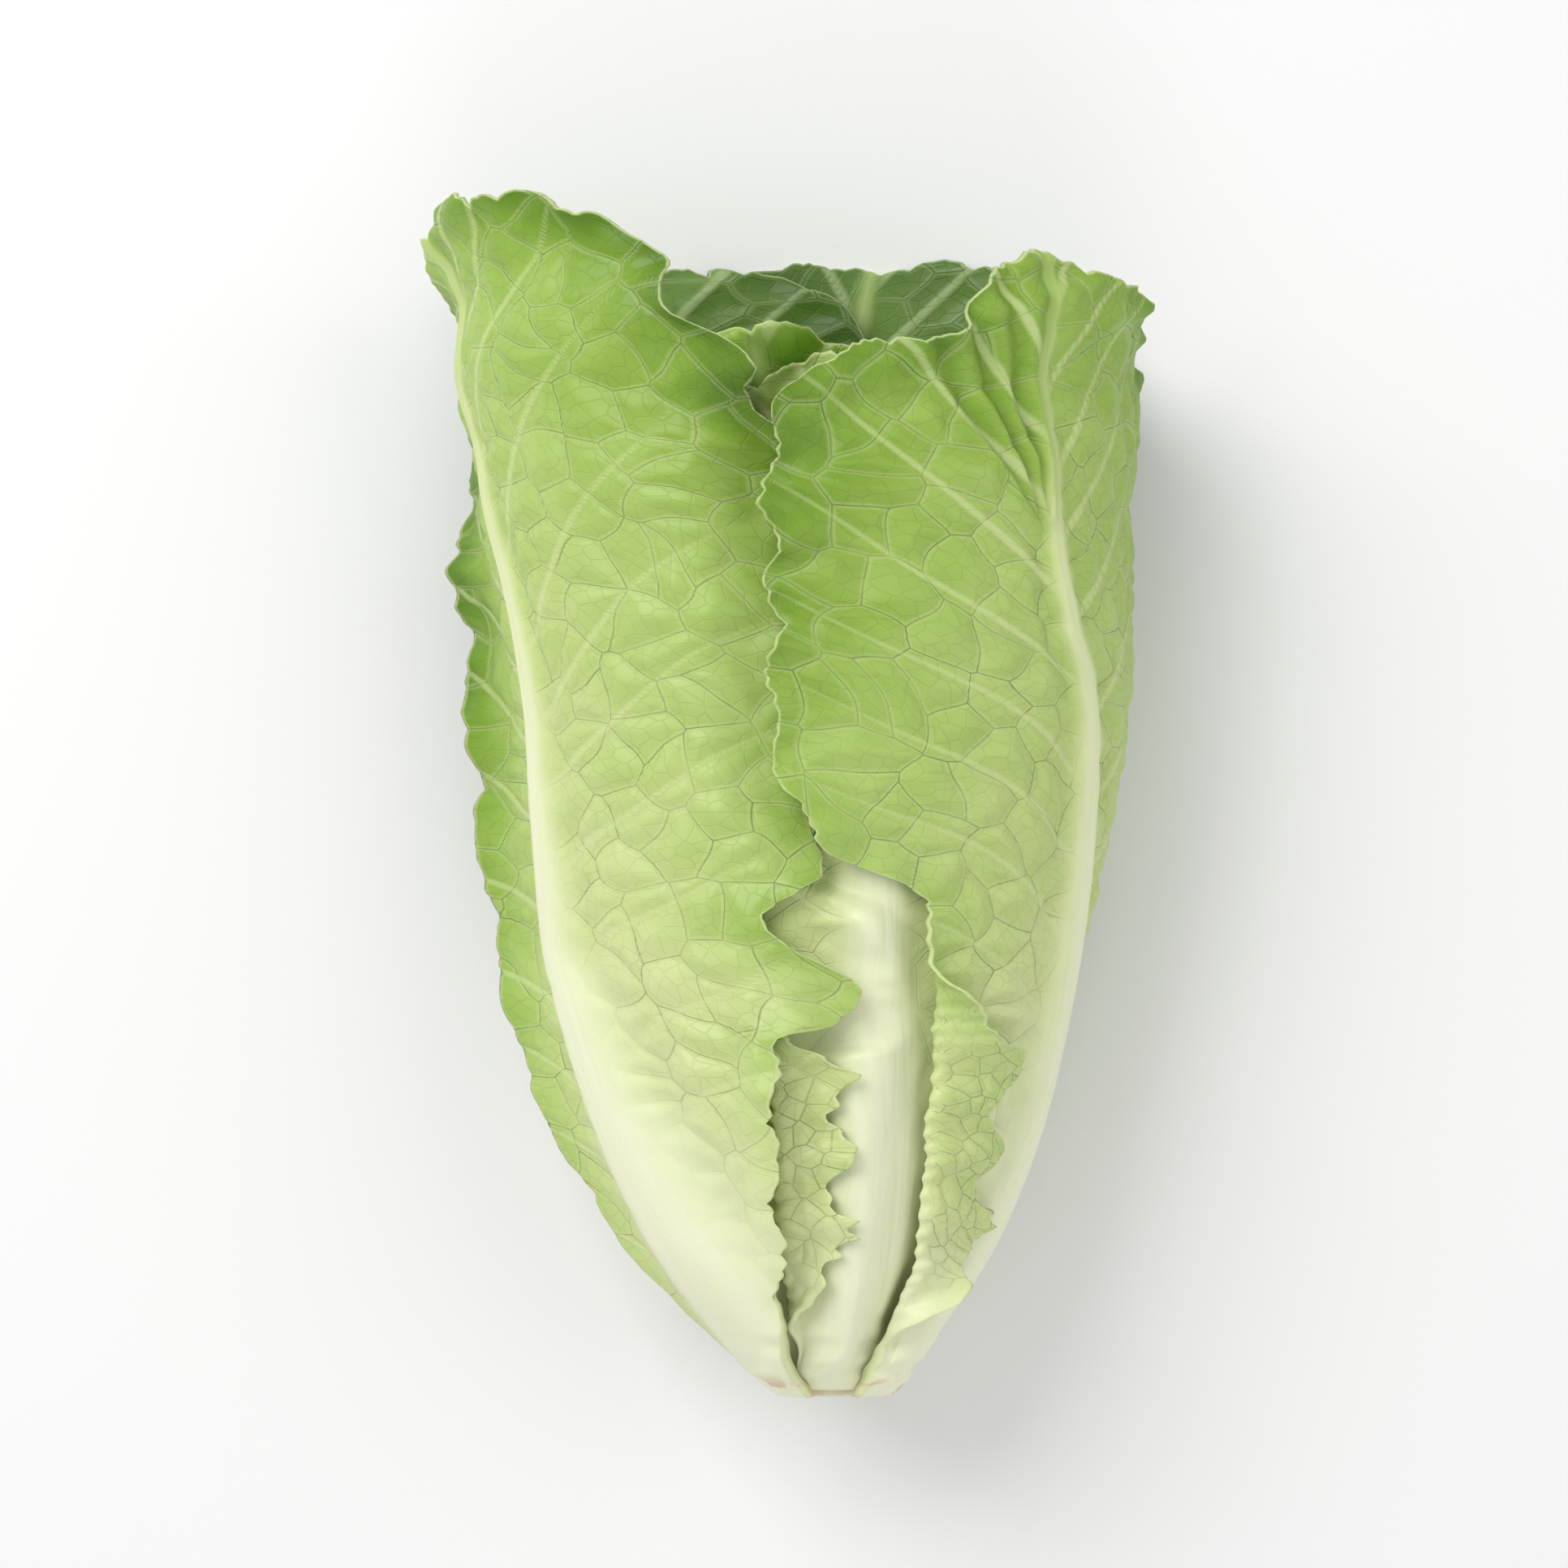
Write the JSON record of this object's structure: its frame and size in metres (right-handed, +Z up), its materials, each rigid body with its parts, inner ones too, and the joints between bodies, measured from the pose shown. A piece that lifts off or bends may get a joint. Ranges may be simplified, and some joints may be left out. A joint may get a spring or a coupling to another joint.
{
  "type": "romaine heart",
  "caption": "Romaine heart lying on its back: long waved green leaves with broad pale ribs, wrapped round a short stem cut flat at the foot.",
  "frame": {"origin": "on the surface that the heart lies on, under the middle of its bounding box", "axes": "+Y along the heart from the cut stem to the leaf tips, +Z up from the surface, +X to the right of a viewer who looks down at it with the tips away from them"},
  "size_m": [0.1794, 0.2984, 0.1026],
  "materials": {
    "outer_leaf": "satin waxy green leaf with a pale cream rib",
    "inner_leaf": "satin pale yellow-green leaf with a cream rib",
    "stem": "moist cream flesh, with a cut foot that browns at its edge"
  },
  "bodies": {
    "root": {"stem": "stem", "leaf_01": "outer_leaf", "leaf_02": "outer_leaf", "leaf_03": "outer_leaf", "leaf_04": "outer_leaf", "leaf_05": "outer_leaf", "leaf_06": "outer_leaf", "leaf_07": "outer_leaf", "leaf_08": "inner_leaf", "leaf_09": "inner_leaf", "leaf_10": "inner_leaf", "leaf_11": "inner_leaf", "leaf_12": "inner_leaf", "leaf_13": "inner_leaf", "leaf_14": "inner_leaf", "leaf_15": "inner_leaf"}
  },
  "joints": []
}
